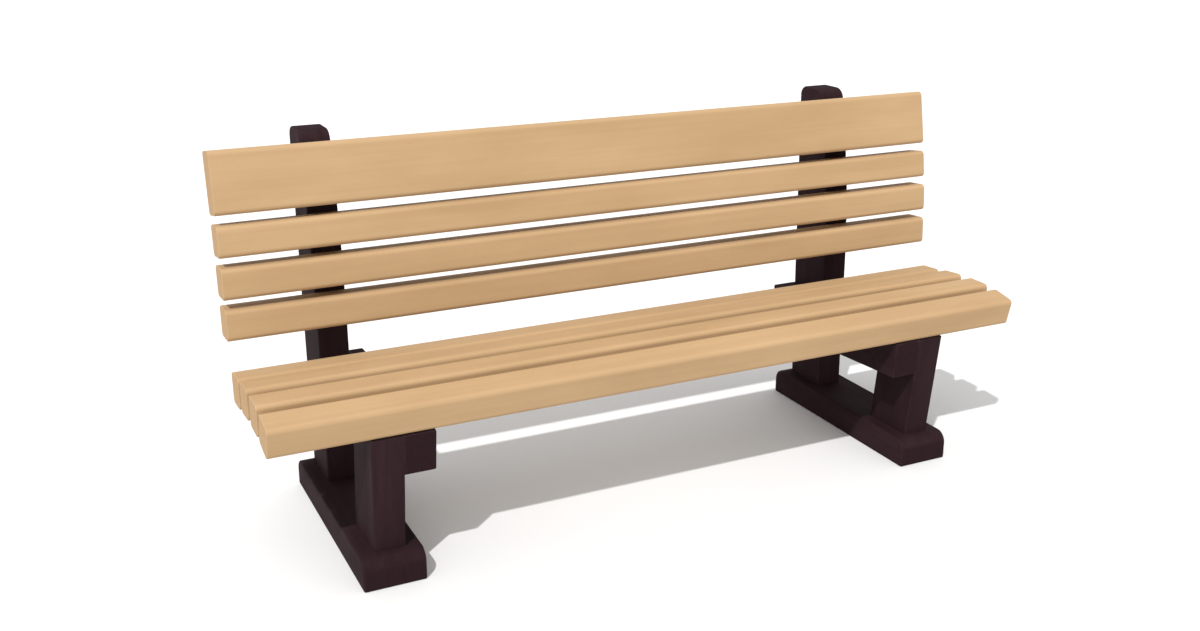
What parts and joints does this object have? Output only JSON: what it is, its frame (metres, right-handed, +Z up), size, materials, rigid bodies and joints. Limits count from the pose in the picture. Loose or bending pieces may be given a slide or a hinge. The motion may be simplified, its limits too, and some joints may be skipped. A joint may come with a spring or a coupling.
{
  "type": "park bench",
  "caption": "Park bench with a leaning slatted back: full-length square planks in a crowned seat, a broad top rail, and two dark supports on runners.",
  "frame": {"origin": "on the ground under the middle of the bench", "axes": "+X along the planks to the right end as a sitter's viewer sees it from the front, +Y from the front of the seat to the back, +Z up"},
  "size_m": [2, 0.607, 0.943],
  "materials": {
    "plank_plastic": "sand-coloured, solid-coloured moulded plastic beam, satin-matte with faint lengthwise drawing",
    "support_plastic": "dark chocolate-brown moulded plastic beam, matte",
    "cap_plastic": "dark chocolate-brown plug, matte",
    "fastener_steel": "zinc-plated steel"
  },
  "bodies": {
    "root": {"seat_plank_1": "plank_plastic", "seat_plank_2": "plank_plastic", "seat_plank_3": "plank_plastic", "seat_plank_4": "plank_plastic", "back_plank_1": "plank_plastic", "back_plank_2": "plank_plastic", "back_plank_3": "plank_plastic", "back_plank_4": "plank_plastic", "left_runner": "support_plastic", "left_front_leg": "support_plastic", "left_back_post": "support_plastic", "left_seat_bearer": "support_plastic", "right_runner": "support_plastic", "right_front_leg": "support_plastic", "right_back_post": "support_plastic", "right_seat_bearer": "support_plastic", "bolt_caps": "cap_plastic", "frame_bolts": "fastener_steel", "frame_nuts": "fastener_steel", "frame_washers": "fastener_steel", "coach_screws": "fastener_steel", "coach_washers": "fastener_steel", "seat_plank_screws": "fastener_steel", "seat_plank_washers": "fastener_steel", "back_plank_screws": "fastener_steel", "back_plank_washers": "fastener_steel"}
  },
  "joints": []
}
